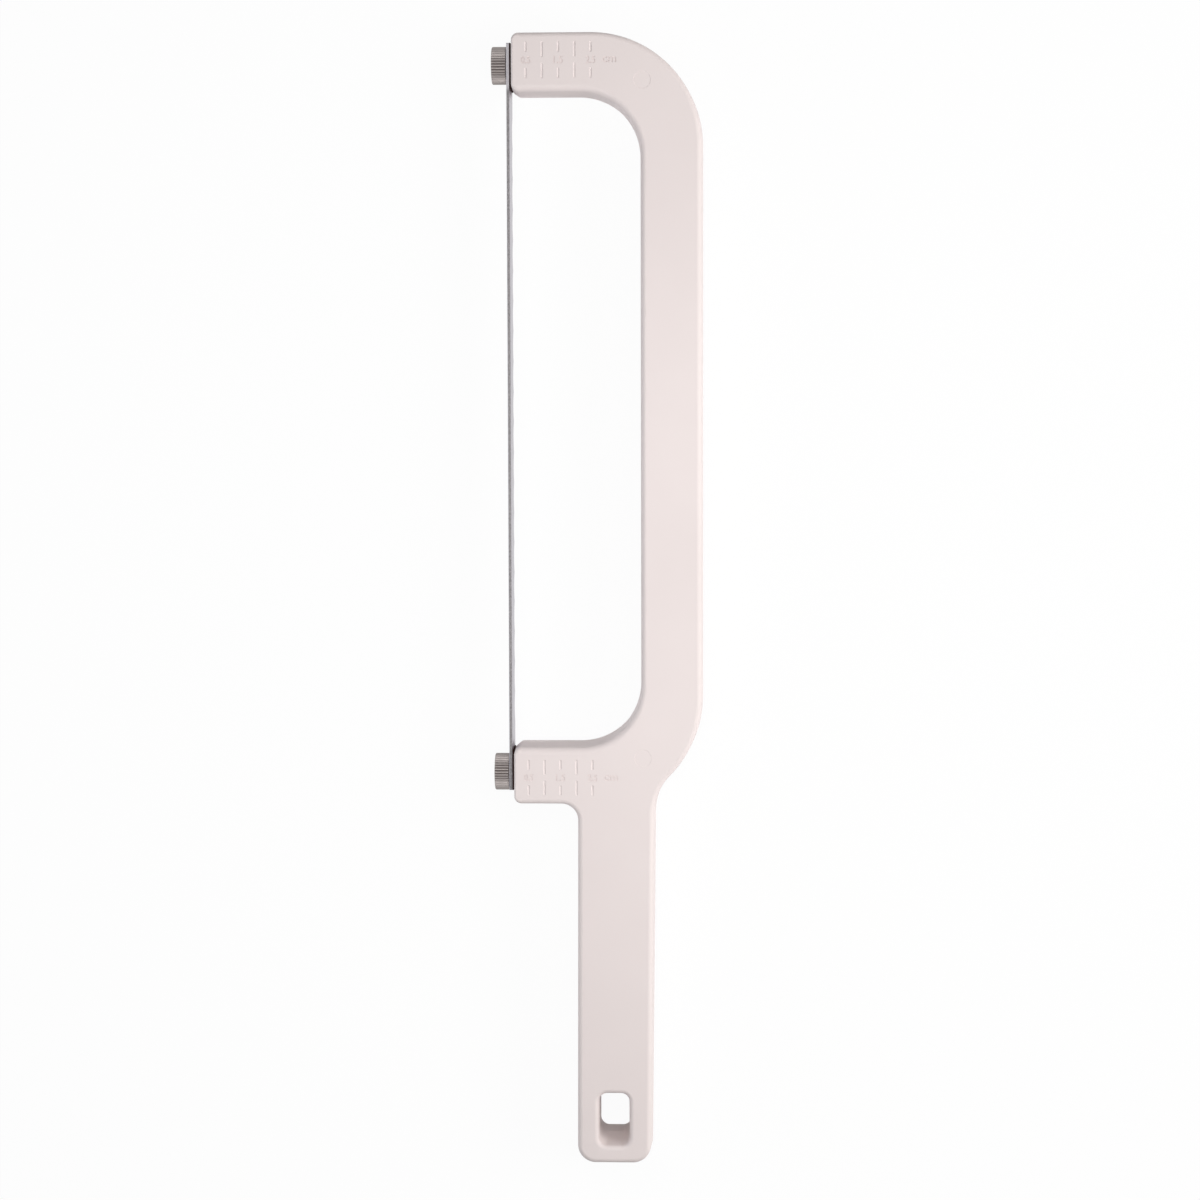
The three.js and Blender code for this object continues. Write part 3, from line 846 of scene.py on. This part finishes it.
def insert_brass():
    made, tree, shader = new_material("insert_brass", metallic=1)
    lines = noise(tree, BRASS_LINES)
    tree.links.new(ramp(tree, lines, BRASS_SHADES), shader.inputs["Base Color"])
    tree.links.new(spread(tree, lines, BRASS_ROUGHNESS), shader.inputs["Roughness"])
    bump(tree, shader, lines, BRASS_HEIGHT)
    return made


# Dark brown sheet material: painted shadow of the gap between the blade and an arm's end.
def pad_rubber():
    made, tree, shader = new_material("pad_rubber")
    shader.inputs["Specular IOR Level"].default_value = PAD_SPECULAR
    specks = noise(tree, PAD_SPECKS, detail=4)
    tree.links.new(ramp(tree, specks, PAD_SHADOW_SHADES), shader.inputs["Base Color"])
    tree.links.new(spread(tree, specks, PAD_ROUGHNESS), shader.inputs["Roughness"])
    bump(tree, shader, specks, PAD_BUMP_HEIGHT)
    return made


# The pieces

piece("frame_moulding", frame_mesh(), moulded_plastic(), "frame", "bow_frame")
piece("blade_strip", blade_mesh(), blade_steel(), "blade", "blade")
steel = screw_steel()
brass = insert_brass()
shadow_pad = pad_rubber()
ends = (
    ("top", TOP_SCREW_Y, HALF_THROAT + PAD_MARGIN, BLADE_HIGH_Y),
    ("bottom", BOTTOM_SCREW_Y, BLADE_LOW_Y, -HALF_THROAT - PAD_MARGIN),
)
for end_name, screw_y, pad_low, pad_high in ends:
    piece(
        f"{end_name}_screw_knurled", screw_mesh(screw_y), steel,
        f"{end_name}_screw", f"{end_name}_thumb_screw",
    )
    piece(
        f"{end_name}_insert_turned", insert_mesh(screw_y), brass,
        "frame", f"{end_name}_threaded_insert",
    )
    # the pad sheet carries the painted shadow of the gap between blade and arm
    piece(
        f"{end_name}_shadow_pad_sheet", pad_mesh(screw_y, pad_low, pad_high), shadow_pad,
        "frame", f"{end_name}_blade_pad",
    )


# Floor, world and lamps

FLOOR_SIZE = 8
FLOOR_DROP = 0.0003
FLOOR_SHADE = srgb(245, 245, 245)
FLOOR_GLOW_SHARE = 0.95  # how much of the floor's white the lamps and shadows don't touch
AMBIENT = 0.2
WHITE = (1, 1, 1, 1)
LAMP_AIM = Vector((0.02, 0.03, 0.01))
LAMPS = [  # name, place and width in metres, power in watts and colour
    ("side_key", (0.8, 0.03, 0.57), 0.6, 6, (1, 0.99, 0.975)),
    ("front_fill", (0.03, 0.02, 0.38), 0.3, 0.61, (1, 1, 1)),
    ("left_fill", (-0.95, 0, 0.3), 0.6, 2.3, (0.88, 0.94, 1)),
]


def background_rays(tree):
    """1 for rays that see the background from the camera or in a reflection, and 0 for its light."""
    paths = tree.nodes.new("ShaderNodeLightPath")
    total = paths.outputs["Is Camera Ray"]
    for name in ("Is Glossy Ray", "Is Transmission Ray"):
        total = calculate(tree, "MAXIMUM", total, paths.outputs[name])
    return total


def mix_shaders(tree, share, first, second):
    made = tree.nodes.new("ShaderNodeMixShader")
    tree.links.new(share, made.inputs["Fac"])
    tree.links.new(first, made.inputs[1])
    tree.links.new(second, made.inputs[2])
    return made.outputs["Shader"]


def make_floor():
    made = bpy.data.materials.new("pale_floor")
    made.use_nodes = True
    tree = made.node_tree
    tree.nodes.clear()
    lit = tree.nodes.new("ShaderNodeBsdfDiffuse")
    lit.inputs["Color"].default_value = FLOOR_SHADE
    glow = tree.nodes.new("ShaderNodeEmission")
    glow.inputs["Color"].default_value = WHITE
    glow_share = calculate(tree, "MULTIPLY", background_rays(tree), FLOOR_GLOW_SHARE)
    shown = mix_shaders(tree, glow_share, lit.outputs["BSDF"], glow.outputs["Emission"])
    clear = tree.nodes.new("ShaderNodeBsdfTransparent")
    sides = tree.nodes.new("ShaderNodeNewGeometry")
    output = tree.nodes.new("ShaderNodeOutputMaterial")
    faced = mix_shaders(tree, sides.outputs["Backfacing"], shown, clear.outputs["BSDF"])
    tree.links.new(faced, output.inputs["Surface"])
    bm = bmesh.new()
    bmesh.ops.create_grid(bm, x_segments=1, y_segments=1, size=FLOOR_SIZE / 2)
    mesh = bpy.data.meshes.new("floor")
    bm.to_mesh(mesh)
    bm.free()
    mesh.materials.append(made)
    floor = bpy.data.objects.new("floor", mesh)
    floor.location.z = -FLOOR_DROP
    bpy.context.scene.collection.objects.link(floor)


def make_world():
    world = bpy.data.worlds.new("studio")
    world.use_nodes = True
    tree = world.node_tree
    tree.nodes.clear()
    ambient = tree.nodes.new("ShaderNodeBackground")
    ambient.inputs["Color"].default_value = WHITE
    ambient.inputs["Strength"].default_value = AMBIENT
    white = tree.nodes.new("ShaderNodeBackground")
    white.inputs["Color"].default_value = WHITE
    white.inputs["Strength"].default_value = 1
    output = tree.nodes.new("ShaderNodeOutputWorld")
    shown = mix_shaders(
        tree, background_rays(tree), ambient.outputs["Background"], white.outputs["Background"]
    )
    tree.links.new(shown, output.inputs["Surface"])
    bpy.context.scene.world = world


def area_lamp(name, place, size, power, colour):
    data = bpy.data.lights.new(name, "AREA")
    data.shape = "DISK"
    data.size = size
    data.energy = power
    data.color = colour
    lamp = bpy.data.objects.new(name, data)
    lamp.location = place
    lamp.rotation_euler = (LAMP_AIM - Vector(place)).to_track_quat("-Z", "Y").to_euler()
    lamp.visible_camera = False
    bpy.context.scene.collection.objects.link(lamp)


make_floor()
make_world()
for lamp in LAMPS:
    area_lamp(*lamp)


# Camera

CAMERA_PLACE = (38.295 * MM, 65.89 * MM, 907.5 * MM)
CAMERA_PITCH = 0.0723
CAMERA_YAW = -0.0423
CAMERA_ROLL = 0.0025
CAMERA_LENS = 85.68
SENSOR_WIDTH = 36


def make_camera():
    data = bpy.data.cameras.new("camera")
    data.lens = CAMERA_LENS
    data.sensor_width = SENSOR_WIDTH
    camera = bpy.data.objects.new("camera", data)
    turns = ((CAMERA_ROLL, "Z"), (CAMERA_PITCH, "X"), (CAMERA_YAW, "Y"))
    facing = Matrix.Identity(3)
    for angle, axis in turns:
        facing = facing @ Matrix.Rotation(angle, 3, axis)
    camera.matrix_world = Matrix.Translation(CAMERA_PLACE) @ facing.transposed().to_4x4()
    bpy.context.scene.collection.objects.link(camera)
    bpy.context.scene.camera = camera


make_camera()
bpy.context.scene.view_settings.view_transform = "Standard"
